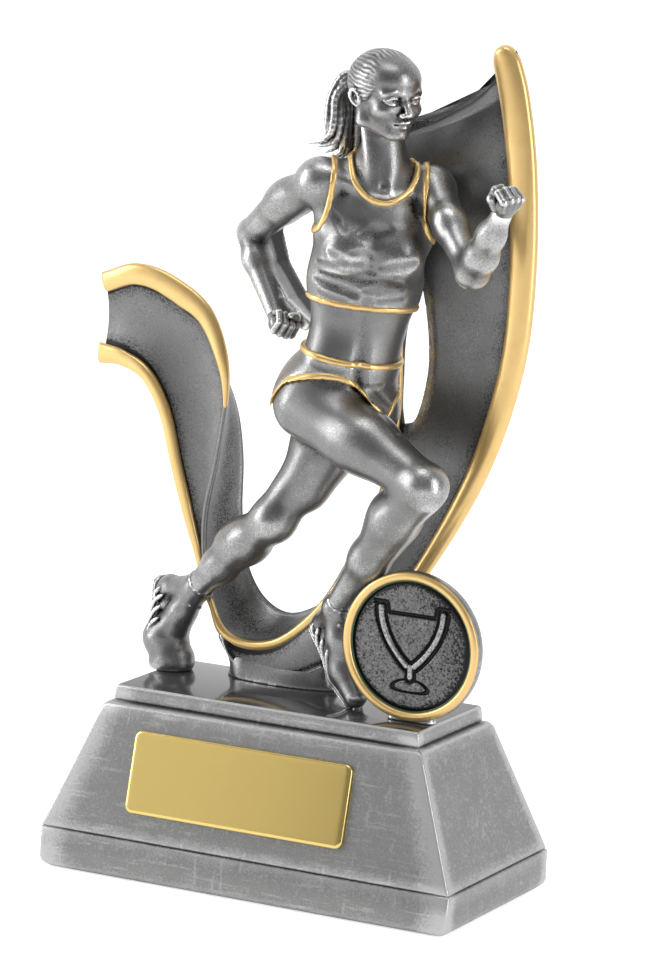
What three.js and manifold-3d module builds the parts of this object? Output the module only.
// Figure trophy: a runner in front of a twisted ribbon, with a round medallion holder, on a weighted plinth.
// Millimetres, +Z up. The origin is the middle of the plinth's underside, and the front faces -Y.

import * as THREE from 'three';
import { mergeVertices } from 'three/addons/utils/BufferGeometryUtils.js';
import Module from 'manifold-3d';

const wasm = await Module();
wasm.setup();

// Driving dimensions

const plinth = {
  footWidth: 92,
  footDepth: 45.6,
  bandHeight: 8.4,
  bandTopWidth: 91.3,
  bandTopDepth: 43.5,
  slopeHeight: 34.7,
  slopeTopWidth: 70.5,
  slopeTopDepth: 30.5,
  deckHeight: 38,
  deckWidth: 67.8,
  deckDepth: 27.2,
  cornerRadius: 1.4,
  grooveDepth: 0.5,
  grooveHalfHeight: 0.45,
  floorGap: 0.3,
};
const pad = { width: 82, depth: 35, thickness: 1.6, clearance: 0.3 };
const plate = { width: 49.6, height: 16.8, thickness: 0.9, corner: 1.5, centreX: -2.5, upSlope: 13.8 };
const tape = { thickness: 0.3, inset: 1.2, gap: 0.12 };
const holder = { radius: 15.05, thickness: 4.2, recessRadius: 13.25, recessDepth: 1.9, x: 29, frontY: -8.6, z: 53.35 };
const insert = { radius: 12.7, thickness: 1.1 };
const glueGap = 0.15;
const screw = { shankRadius: 1.45, headRadius: 2.9, headHeight: 2.1, seatZ: 22, tipZ: 45.2, xs: [-14.5, -2.5], y: 8.8 };
const washer = { radius: 3.5, bore: 1.8, thickness: 0.8 };
const brass = { radius: 2.3, bore: 1.7, bottomZ: 38.6, topZ: 44.6 };
const clearance = { screwHole: 1.9, counterbore: 4.1, pin: 0.2 };
const pin = { radius: 0.9, bottomZ: 31, topZ: 42.2 };
const ribbonGap = 0.35;
const ribbonSteps = 44;
const rimThickness = 2.6;

// Body points of the runner, at the centres of the joints

const joint = {
  pelvisRight: [2.9, -5.4, 98.4],
  pelvisLeft: [10.7, 4.0, 97.3],
  kneeRight: [33.3, -13, 86.6],
  ankleRight: [8.9, -1.5, 57.5],
  heelRight: [4.4, 2.4, 53.2],
  ballRight: [11.9, -1.6, 44.6],
  toeRight: [15.2, -3.7, 40.8],
  kneeLeft: [-4.9, -4, 74],
  ankleLeft: [-26.6, 4.2, 56.1],
  heelLeft: [-35.2, 8.4, 54.4],
  ballLeft: [-34.6, 5.8, 43.5],
  toeLeft: [-30.6, 6.2, 40.6],
  waist: [10.9, -0.5, 113.7],
  chest: [14.2, -1.2, 131.5],
  neckBase: [14.4, -0.6, 143.2],
  skull: [14.2, -1.0, 162.4],
  jaw: [17.8, -4.4, 156.6],
  knotOfHair: [4.4, 4.6, 160.6],
  tipOfHair: [-1.4, 6.2, 150.6],
  shoulderRight: [4.4, -6.0, 143.6],
  elbowRight: [-16.8, 5, 129.9],
  wristRight: [-6.9, -1, 115.4],
  fistRight: [-2.6, -3, 113.2],
  shoulderLeft: [23.6, 4.6, 143.4],
  elbowLeft: [39.1, -8, 128.8],
  wristLeft: [49.2, -16.8, 141.6],
  fistLeft: [52.2, -19.4, 145.4],
  belly: [6.6, -0.8, 101.5],
  collar: [14.3, -1, 137.5],
  calfRight: [22, -7, 74.5],
  calfLeft: [-13.5, -0.6, 66.2],
};

// Limbs: from, to, the radius at each, and how much of the depth is left where the trunk is flattened.

const limbs = [
  ['pelvisRight', 'pelvisLeft', 7.6, 7.2],
  ['belly', 'waist', 9, 7.8, 0.78],
  ['waist', 'chest', 8, 10.2, 0.74],
  ['chest', 'collar', 10.2, 8.6, 0.72],
  ['shoulderRight', 'shoulderLeft', 4.4, 4.4],
  ['neckBase', 'jaw', 4.2, 3.7],
  ['skull', 'jaw', 7.4, 5],
  ['skull', 'knotOfHair', 5.4, 3],
  ['knotOfHair', 'tipOfHair', 3, 1.8],
  ['shoulderRight', 'elbowRight', 4.4, 3.2],
  ['elbowRight', 'wristRight', 3.4, 2.4],
  ['wristRight', 'fistRight', 2.4, 2.9],
  ['shoulderLeft', 'elbowLeft', 4.4, 3.2],
  ['elbowLeft', 'wristLeft', 3.4, 2.4],
  ['wristLeft', 'fistLeft', 2.4, 3.3],
  ['pelvisRight', 'kneeRight', 7.8, 5],
  ['kneeRight', 'calfRight', 5, 4.9],
  ['calfRight', 'ankleRight', 4.9, 2.9],
  ['pelvisLeft', 'kneeLeft', 7.4, 4.7],
  ['kneeLeft', 'calfLeft', 4.6, 4.5],
  ['calfLeft', 'ankleLeft', 4.4, 2.8],
  ['ankleRight', 'heelRight', 3.2, 3],
  ['ankleRight', 'ballRight', 3.2, 3.1],
  ['heelRight', 'ballRight', 2.8, 3],
  ['ballRight', 'toeRight', 3.1, 2.3],
  ['ankleLeft', 'heelLeft', 3.2, 3.1],
  ['ankleLeft', 'ballLeft', 3.4, 3.4],
  ['heelLeft', 'ballLeft', 3, 3.4],
  ['ballLeft', 'toeLeft', 3.4, 2.6],
];
const chestAcross = [0.5, -0.85, 0];
const armWeb = {
  places: [[-3, -4, 140.8], [-10, 0.5, 136.6], [-15.6, 4.4, 130.2], [-12.2, 2.6, 123.4], [-7.6, 0, 117.8]],
  halfThickness: 1.7,
  depth: 9,
};
const dowel = { x: 16, z: 133, radius: 1.25, frontY: 1.2, backY: 10.3 };
const pinPlaces = [
  ['rear_foot_pin', -30.4, 6.2],
  ['front_foot_pin', 15.2, -3.7],
  ['holder_pin_left', 26, -5.7],
  ['holder_pin_right', 32, -5.7],
];
const holderHeel = { bottomWidth: 14, topWidth: 10, depth: 3.6, corner: 0.8, top: 39.9, behindMiddle: 0.2 };
const ribbonFlare = {
  x: -8.2,
  y: 8.6,
  sides: 24,
  levels: [[38.15, 15.4, 4.7], [39.2, 14.4, 4.2], [41.4, 13.4, 3.8], [45.4, 12.6, 3.6]],
};

// Edge curves of the ribbon, from the curl at upper left, down, round the U and up to the tip.
// Each row is one place along it: outer edge, inner ridge, back edge.

const ribbonPlaces = [
  [[-52.9, 8, 100.2], [-52.7, 8, 117.9], [-51.5, 14, 109.5]],
  [[-47.6, 7.5, 100.2], [-45.2, 7.5, 120], [-45, 15.6, 110]],
  [[-42.4, 7, 97.2], [-36.6, 7.5, 118.7], [-37.5, 17, 108]],
  [[-38.2, 7, 90], [-28, 7.5, 112.4], [-31, 17, 102]],
  [[-35.2, 7, 79.8], [-22.7, 7, 100], [-25.6, 17, 92.5]],
  [[-32.2, 7.4, 69.8], [-23.9, 7, 84], [-23.8, 17, 82]],
  [[-29.4, 8, 61.5], [-26.9, 7.6, 70.2], [-23.6, 17, 70.5]],
  [[-26.7, 8.2, 53.6], [-26.2, 7.6, 58], [-22.4, 17, 61]],
  [[-22, 8, 45.6], [-22.8, 7, 48.8], [-18.8, 17, 54]],
  [[-16.6, 7.6, 40], [-16.4, 6.8, 45.8], [-13.2, 16.6, 50.7]],
  [[-8, 7.4, 38.9], [-8, 6.8, 47.8], [-7.2, 16.2, 51.8]],
  [[2.2, 7.6, 42.8], [1.2, 7, 56.6], [1.4, 16, 57.6]],
  [[13, 7.8, 50.2], [8.2, 7, 69], [9.6, 16, 67]],
  [[24.6, 8, 65.1], [13.2, 7.4, 81], [17.2, 15.8, 78]],
  [[36.5, 8, 86.5], [15.4, 8, 94], [24, 15.4, 93]],
  [[43.2, 8, 108], [15.6, 8, 108], [27.8, 15, 108]],
  [[44.9, 8, 128], [14.6, 8.5, 124], [29, 14.8, 126]],
  [[44.1, 8, 147], [10, 9, 138], [27, 14.4, 142]],
  [[41.8, 8, 161.5], [7.4, 9.4, 147.5], [25.4, 14, 150.2]],
  [[38, 8.4, 171.8], [6, 10, 153.6], [22.5, 13.6, 156.2]],
];
const slitOutline = [
  [17.4, 93.4], [19.6, 94.6], [20.8, 99], [21.2, 107], [21.2, 115], [20.7, 121.4],
  [18.2, 117.6], [17.2, 112], [17.1, 104], [16.9, 98],
];

// Solids

const point = (p) => new THREE.Vector3(...p);

function solid(geometry) {
  const bare = geometry.index ? geometry.clone() : geometry;
  bare.deleteAttribute('normal');
  bare.deleteAttribute('uv');
  const merged = mergeVertices(bare, 1e-4);
  return new wasm.Manifold(new wasm.Mesh({
    numProp: 3,
    vertProperties: new Float32Array(merged.attributes.position.array),
    triVerts: new Uint32Array(merged.index.array),
  }));
}

function surface(body) {
  const mesh = body.getMesh();
  const geometry = new THREE.BufferGeometry();
  geometry.setAttribute('position', new THREE.BufferAttribute(mesh.vertProperties, 3));
  geometry.setIndex(new THREE.BufferAttribute(mesh.triVerts, 1));
  geometry.computeVertexNormals();
  return geometry;
}

const join = (bodies) => bodies.reduce((whole, body) => whole.add(body));

const cut = (body, cutters) => cutters.reduce((rest, cutter) => rest.subtract(cutter), body);

// A closed skin through rings of points: each ring has the same number of points, in the same order.
function loft(rings) {
  const count = rings[0].length;
  const positions = rings.flat().flatMap((p) => [p.x, p.y, p.z]);
  const index = [];
  for (let row = 0; row < rings.length - 1; row += 1) {
    for (let i = 0; i < count; i += 1) {
      const j = (i + 1) % count;
      const a = row * count + i;
      const b = row * count + j;
      index.push(a, b, b + count, a, b + count, a + count);
    }
  }
  const centreOf = (ring) => ring.reduce((sum, p) => sum.add(p), new THREE.Vector3()).divideScalar(count);
  const last = (rings.length - 1) * count;
  const first = positions.length / 3;
  positions.push(...centreOf(rings[0]).toArray(), ...centreOf(rings[rings.length - 1]).toArray());
  for (let i = 0; i < count; i += 1) {
    const j = (i + 1) % count;
    index.push(first, j, i, first + 1, last + i, last + j);
  }
  const geometry = new THREE.BufferGeometry();
  geometry.setAttribute('position', new THREE.Float32BufferAttribute(positions, 3));
  geometry.setIndex(index);
  return geometry;
}

// An upright rod or ring, turned about the line x, y.
function turned(profile, x, y, segments = 24) {
  const points = profile.map(([radius, z]) => new THREE.Vector2(radius, z));
  const geometry = new THREE.LatheGeometry(points, segments);
  geometry.rotateX(Math.PI / 2);
  geometry.translate(x, y, 0);
  return solid(geometry);
}

const rod = (x, y, radius, bottom, top, segments) =>
  turned([[0, bottom], [radius, bottom], [radius, top], [0, top]], x, y, segments);

const tubeProfile = (outer, inner, bottom, top) =>
  [[inner, bottom], [outer, bottom], [outer, top], [inner, top], [inner, bottom]];

// A limb between two joints: a round-ended tapered capsule, flattened across `flat` where that is given.
function limb(from, to, radiusFrom, radiusTo, flatness = 1, flat = [0, 1, 0]) {
  const start = point(from);
  const along = point(to).sub(start);
  const length = along.length();
  const tilt = Math.asin((radiusFrom - radiusTo) / Math.max(length, Math.abs(radiusFrom - radiusTo) + 0.01));
  const profile = [];
  const arcSteps = 2;
  for (let i = 0; i <= arcSteps; i += 1) {
    const angle = -Math.PI / 2 + ((Math.PI / 2 + tilt) * i) / arcSteps;
    profile.push(new THREE.Vector2(radiusFrom * Math.cos(angle), radiusFrom * Math.sin(angle)));
  }
  for (let i = 0; i <= arcSteps; i += 1) {
    const angle = tilt + ((Math.PI / 2 - tilt) * i) / arcSteps;
    profile.push(new THREE.Vector2(radiusTo * Math.cos(angle), length + radiusTo * Math.sin(angle)));
  }
  profile[0].x = 0;
  profile[profile.length - 1].x = 0;
  const geometry = new THREE.LatheGeometry(profile, radiusFrom > 6 ? 12 : 8);
  const yAxis = along.normalize();
  const zAxis = point(flat).addScaledVector(yAxis, -point(flat).dot(yAxis)).normalize();
  const xAxis = new THREE.Vector3().crossVectors(yAxis, zAxis);
  geometry.scale(1, 1, flatness);
  geometry.applyMatrix4(new THREE.Matrix4().makeBasis(xAxis, yAxis, zAxis));
  geometry.translate(start.x, start.y, start.z);
  return solid(geometry);
}

// A thin wall behind a bent limb, through places along it, each running back by `depth`.
function webBehind(places, halfThickness, depth) {
  const centres = places.map(point);
  const rings = centres.map((centre, i) => {
    const before = centres[Math.max(i - 1, 0)];
    const after = centres[Math.min(i + 1, centres.length - 1)];
    const along = after.clone().sub(before).setY(0).normalize();
    const across = new THREE.Vector3(-along.z, 0, along.x).multiplyScalar(halfThickness);
    const behind = new THREE.Vector3(0, depth, 0);
    const inner = centre.clone().add(across);
    const outer = centre.clone().sub(across);
    return [outer, outer.clone().add(behind), inner.clone().add(behind), inner];
  });
  return solid(loft(rings));
}

function roundedOutline(width, depth, radius, steps = 3) {
  const outline = [];
  const corners = [[1, 1], [-1, 1], [-1, -1], [1, -1]];
  corners.forEach(([sx, sy], quarter) => {
    for (let i = 0; i <= steps; i += 1) {
      const angle = (Math.PI / 2) * (quarter + i / steps);
      outline.push([
        sx * (width / 2 - radius) + radius * Math.cos(angle),
        sy * (depth / 2 - radius) + radius * Math.sin(angle),
      ]);
    }
  });
  return outline;
}

const slab = (width, depth, radius, bottom, top) =>
  solid(loft([bottom, top].map((z) =>
    roundedOutline(width, depth, radius).map(([x, y]) => new THREE.Vector3(x, y, z)))));

// The plinth and what is fixed to it

function plinthSize(z) {
  const t = (z - plinth.bandHeight) / (plinth.slopeHeight - plinth.bandHeight);
  return [
    plinth.bandTopWidth + t * (plinth.slopeTopWidth - plinth.bandTopWidth),
    plinth.bandTopDepth + t * (plinth.slopeTopDepth - plinth.bandTopDepth),
  ];
}

function plinthOutside() {
  const groove = plinth.grooveHalfHeight;
  const [lowWidth, lowDepth] = plinthSize(plinth.bandHeight + groove);
  const [highWidth, highDepth] = plinthSize(plinth.slopeHeight - 1.1);
  const nick = 2 * plinth.grooveDepth;
  const levels = [
    [plinth.floorGap, plinth.footWidth - 2.4, plinth.footDepth - 2.4],
    [plinth.floorGap + 0.7, plinth.footWidth - 0.7, plinth.footDepth - 0.7],
    [plinth.floorGap + 2, plinth.footWidth, plinth.footDepth],
    [plinth.bandHeight - groove, plinth.bandTopWidth + 0.4, plinth.bandTopDepth + 0.4],
    [plinth.bandHeight, plinth.bandTopWidth - nick, plinth.bandTopDepth - nick],
    [plinth.bandHeight + groove, lowWidth, lowDepth],
    [plinth.slopeHeight - 1.1, highWidth, highDepth],
    [plinth.slopeHeight - 0.3, plinth.slopeTopWidth - 0.6, plinth.slopeTopDepth - 0.6],
    [plinth.slopeHeight, plinth.deckWidth + 0.2, plinth.deckDepth + 0.2],
    [plinth.slopeHeight + 0.5, plinth.deckWidth + 1, plinth.deckDepth + 1],
    [plinth.deckHeight - 0.5, plinth.deckWidth + 0.4, plinth.deckDepth + 0.4],
    [plinth.deckHeight, plinth.deckWidth - 0.6, plinth.deckDepth - 0.6],
  ];
  return solid(loft(levels.map(([z, width, depth]) =>
    roundedOutline(width, depth, plinth.cornerRadius).map(([x, y]) => new THREE.Vector3(x, y, z)))));
}

function plinthBody() {
  const recess = slab(pad.width + 2 * pad.clearance, pad.depth + 2 * pad.clearance, 3 + pad.clearance, -1,
    pad.thickness + glueGap);
  const screwHoles = screw.xs.flatMap((x) => [
    rod(x, screw.y, clearance.counterbore, 0, screw.seatZ + washer.thickness + glueGap),
    rod(x, screw.y, clearance.screwHole, 0, plinth.deckHeight + 1),
  ]);
  const pinHoles = pinPlaces.map(([, x, y]) =>
    rod(x, y, pin.radius + clearance.pin, pin.bottomZ - clearance.pin, plinth.deckHeight + 1, 16));
  return cut(plinthOutside(), [recess, ...screwHoles, ...pinHoles]);
}

// Places a flat piece, drawn in X and Y with its back at 0, on the plinth's front slope.
function ontoSlope(geometry, height) {
  const rise = plinth.slopeHeight - plinth.bandHeight;
  const run = (plinth.bandTopDepth - plinth.slopeTopDepth) / 2;
  const lean = Math.atan2(run, rise);
  geometry.translate(plate.centreX, plate.upSlope, height);
  geometry.rotateX(Math.PI / 2 - lean);
  geometry.translate(0, -plinth.bandTopDepth / 2, plinth.bandHeight);
  return geometry;
}

function plateShape(inset, corner) {
  const outline = roundedOutline(plate.width - 2 * inset, plate.height - 2 * inset, corner, 4);
  return new THREE.Shape(outline.map(([x, y]) => new THREE.Vector2(x, y)));
}

function engravingPlate() {
  const bevel = 0.25;
  const geometry = new THREE.ExtrudeGeometry(plateShape(bevel, plate.corner), {
    depth: plate.thickness - bevel,
    bevelThickness: bevel,
    bevelSize: bevel,
    bevelSegments: 1,
    steps: 1,
  });
  geometry.translate(0, 0, bevel);
  return surface(solid(ontoSlope(geometry, tape.thickness + 2 * tape.gap)));
}

function plateTape() {
  const geometry = new THREE.ExtrudeGeometry(plateShape(tape.inset, 0.6), {
    depth: tape.thickness,
    bevelEnabled: false,
  });
  return surface(solid(ontoSlope(geometry, tape.gap)));
}

// The medallion holder and what is in it, turned about a line along Y

function facingFront(profile, segments) {
  const points = profile.map(([radius, depth]) => new THREE.Vector2(radius, depth));
  const geometry = new THREE.LatheGeometry(points, segments);
  geometry.translate(holder.x, holder.frontY, holder.z);
  return solid(geometry);
}

function medallionHolder() {
  const rim = holder.radius;
  const back = holder.thickness;
  const disc = facingFront([
    [0, holder.recessDepth],
    [holder.recessRadius, holder.recessDepth],
    [holder.recessRadius, 0.35],
    [holder.recessRadius + 0.5, 0],
    [rim - 0.6, 0],
    [rim, 0.7],
    [rim, back * 0.55],
    [rim - 1.1, back * 0.85],
    [rim - 3, back],
    [0, back],
  ], 56);
  const heelY = holder.frontY + back / 2 + holderHeel.behindMiddle;
  const heelEnds = [[plinth.deckHeight + glueGap, holderHeel.bottomWidth], [holderHeel.top, holderHeel.topWidth]];
  const heel = solid(loft(heelEnds.map(([z, width]) =>
    roundedOutline(width, holderHeel.depth, holderHeel.corner).map(([x, y]) =>
      new THREE.Vector3(holder.x + x, heelY + y, z)))));
  const holes = pinPlaces.filter(([name]) => name.startsWith('holder')).map(([, x, y]) =>
    rod(x, y, pin.radius + clearance.pin, 30, pin.topZ + clearance.pin, 16));
  return cut(disc.add(heel), holes);
}

function centreInsert() {
  const back = holder.recessDepth - tape.thickness - 2 * tape.gap;
  const front = back - insert.thickness;
  return facingFront([[0, front], [insert.radius - 0.3, front], [insert.radius, front + 0.3],
    [insert.radius, back], [0, back]], 48);
}

function insertTape() {
  const back = holder.recessDepth - tape.gap;
  const front = back - tape.thickness;
  const radius = insert.radius - tape.inset;
  return facingFront([[0, front], [radius, front], [radius, back], [0, back]], 36);
}

// The ribbon

function ribbonRing(outer, ridge, back, fall) {
  const backward = new THREE.Vector3(0, 1, 0);
  const third = outer.clone().lerp(ridge, 0.33).addScaledVector(backward, 1.4);
  const twoThirds = outer.clone().lerp(ridge, 0.67).addScaledVector(backward, 1.4);
  third.z -= fall;
  twoThirds.z -= fall;
  const ridgeBack = ridge.clone().lerp(back, 0.25).addScaledVector(backward, 0.8);
  const outerBack = outer.clone().lerp(back, 0.12).addScaledVector(backward, rimThickness);
  const hollow = outer.clone().lerp(back, 0.55).addScaledVector(backward, 1.4);
  return [outerBack, hollow, back, ridgeBack, ridge, twoThirds, third, outer];
}

function ribbonSkin() {
  const curves = [0, 1, 2].map((edge) =>
    new THREE.CatmullRomCurve3(ribbonPlaces.map((place) => point(place[edge])), false, 'centripetal'));
  const rings = [];
  for (let i = 0; i <= ribbonSteps; i += 1) {
    const t = i / ribbonSteps;
    const fall = 5 * Math.max(0, (t - 0.9) / 0.1) ** 2;
    rings.push(ribbonRing(curves[0].getPoint(t), curves[1].getPoint(t), curves[2].getPoint(t), fall));
  }
  return solid(loft(rings));
}

function ribbonFoot() {
  const { x, y, sides, levels } = ribbonFlare;
  const rings = levels.map(([z, a, b]) => {
    const ring = [];
    for (let i = 0; i < sides; i += 1) {
      const angle = (i / sides) * 2 * Math.PI;
      ring.push(new THREE.Vector3(x + a * Math.cos(angle), y + b * Math.sin(angle), z));
    }
    return ring;
  });
  return solid(loft(rings));
}

function slit() {
  const curve = new THREE.CatmullRomCurve3(slitOutline.map(([x, z]) => new THREE.Vector3(x, z, 0)), true);
  const outline = new THREE.Shape(curve.getPoints(24).slice(0, -1).map((p) => new THREE.Vector2(p.x, p.y)));
  const geometry = new THREE.ExtrudeGeometry(outline, { depth: 40, bevelEnabled: false });
  geometry.rotateX(Math.PI / 2);
  geometry.translate(0, 30, 0);
  return solid(geometry);
}

function ribbonBody() {
  const sockets = screw.xs.map((x) => rod(x, screw.y, brass.radius + clearance.pin, 38, screw.tipZ + 0.6));
  const deckTop = slab(120, 80, 1, 20, plinth.deckHeight + glueGap);
  const dowelHole = alongY(dowel.radius + clearance.pin, -10, dowel.backY + clearance.pin);
  return cut(ribbonSkin().add(ribbonFoot()), [slit(), ...sockets, deckTop, runnerBody(ribbonGap), dowelHole]);
}

// The runner. `growth` makes a larger copy, to cut the room that the runner needs in the ribbon.

function runnerBody(growth = 0) {
  const bodies = limbs.map(([from, to, radiusFrom, radiusTo, flatness]) => limb(joint[from], joint[to],
    radiusFrom + growth, radiusTo + growth, flatness, flatness ? chestAcross : undefined));
  const web = webBehind(armWeb.places, armWeb.halfThickness + growth, armWeb.depth + growth);
  return join([...bodies, web]);
}

function runner() {
  const deckTop = slab(120, 80, 1, 20, plinth.deckHeight + glueGap);
  const holes = pinPlaces.filter(([name]) => name.endsWith('foot_pin')).map(([, x, y]) =>
    rod(x, y, pin.radius + clearance.pin, 30, pin.topZ + clearance.pin, 16));
  const dowelHole = alongY(dowel.radius + clearance.pin, dowel.frontY - clearance.pin, 30);
  return cut(runnerBody(), [deckTop, ...holes, dowelHole]);
}

// Fasteners

function alongY(radius, from, to) {
  const geometry = new THREE.CylinderGeometry(radius, radius, to - from, 20);
  geometry.translate(dowel.x, (from + to) / 2, dowel.z);
  return solid(geometry);
}

const screwBody = (x) => turned([
  [0, screw.seatZ - screw.headHeight - glueGap],
  [screw.headRadius * 0.8, screw.seatZ - screw.headHeight - glueGap],
  [screw.headRadius, screw.seatZ - screw.headHeight * 0.6],
  [screw.headRadius, screw.seatZ - glueGap],
  [screw.shankRadius, screw.seatZ - glueGap],
  [screw.shankRadius, screw.tipZ - 1],
  [screw.shankRadius * 0.6, screw.tipZ],
  [0, screw.tipZ],
], x, screw.y);

const washerBody = (x) =>
  turned(tubeProfile(washer.radius, washer.bore, screw.seatZ, screw.seatZ + washer.thickness), x, screw.y);

const brassBody = (x) =>
  turned(tubeProfile(brass.radius, brass.bore, brass.bottomZ, brass.topZ), x, screw.y);

// Assembly

const finishes = {
  agedSilver: { color: 0x8c8c8a, roughness: 0.42, metalness: 0.8 },
  gold: { color: 0xd9ae4e, roughness: 0.22, metalness: 0.9 },
  steel: { color: 0xa9abad, roughness: 0.35, metalness: 1 },
  brass: { color: 0xb8923f, roughness: 0.35, metalness: 1 },
  foam: { color: 0x1d1d1f, roughness: 0.9, metalness: 0 },
  adhesive: { color: 0xd8d6cc, roughness: 0.7, metalness: 0 },
};

const trophy = new THREE.Group();

function addPiece(name, geometry, finish) {
  const piece = new THREE.Mesh(geometry, new THREE.MeshStandardMaterial(finishes[finish]));
  piece.name = name;
  trophy.add(piece);
}

addPiece('plinth', surface(plinthBody()), 'agedSilver');
addPiece('base_pad', surface(slab(pad.width, pad.depth, 3, 0, pad.thickness)), 'foam');
addPiece('engraving_plate', engravingPlate(), 'gold');
addPiece('plate_tape', plateTape(), 'adhesive');
addPiece('ribbon', surface(ribbonBody()), 'agedSilver');
addPiece('runner', surface(runner()), 'agedSilver');
addPiece('medallion_holder', surface(medallionHolder()), 'agedSilver');
addPiece('centre_insert', surface(centreInsert()), 'agedSilver');
addPiece('insert_tape', surface(insertTape()), 'adhesive');
['left', 'right'].forEach((side, i) => {
  addPiece(`ribbon_screw_${side}`, surface(screwBody(screw.xs[i])), 'steel');
  addPiece(`ribbon_washer_${side}`, surface(washerBody(screw.xs[i])), 'steel');
  addPiece(`ribbon_insert_${side}`, surface(brassBody(screw.xs[i])), 'brass');
});
pinPlaces.forEach(([name, x, y]) => {
  addPiece(name, surface(rod(x, y, pin.radius, pin.bottomZ, pin.topZ, 16)), 'steel');
});
addPiece('back_dowel', surface(alongY(dowel.radius, dowel.frontY, dowel.backY)), 'steel');

export default trophy;
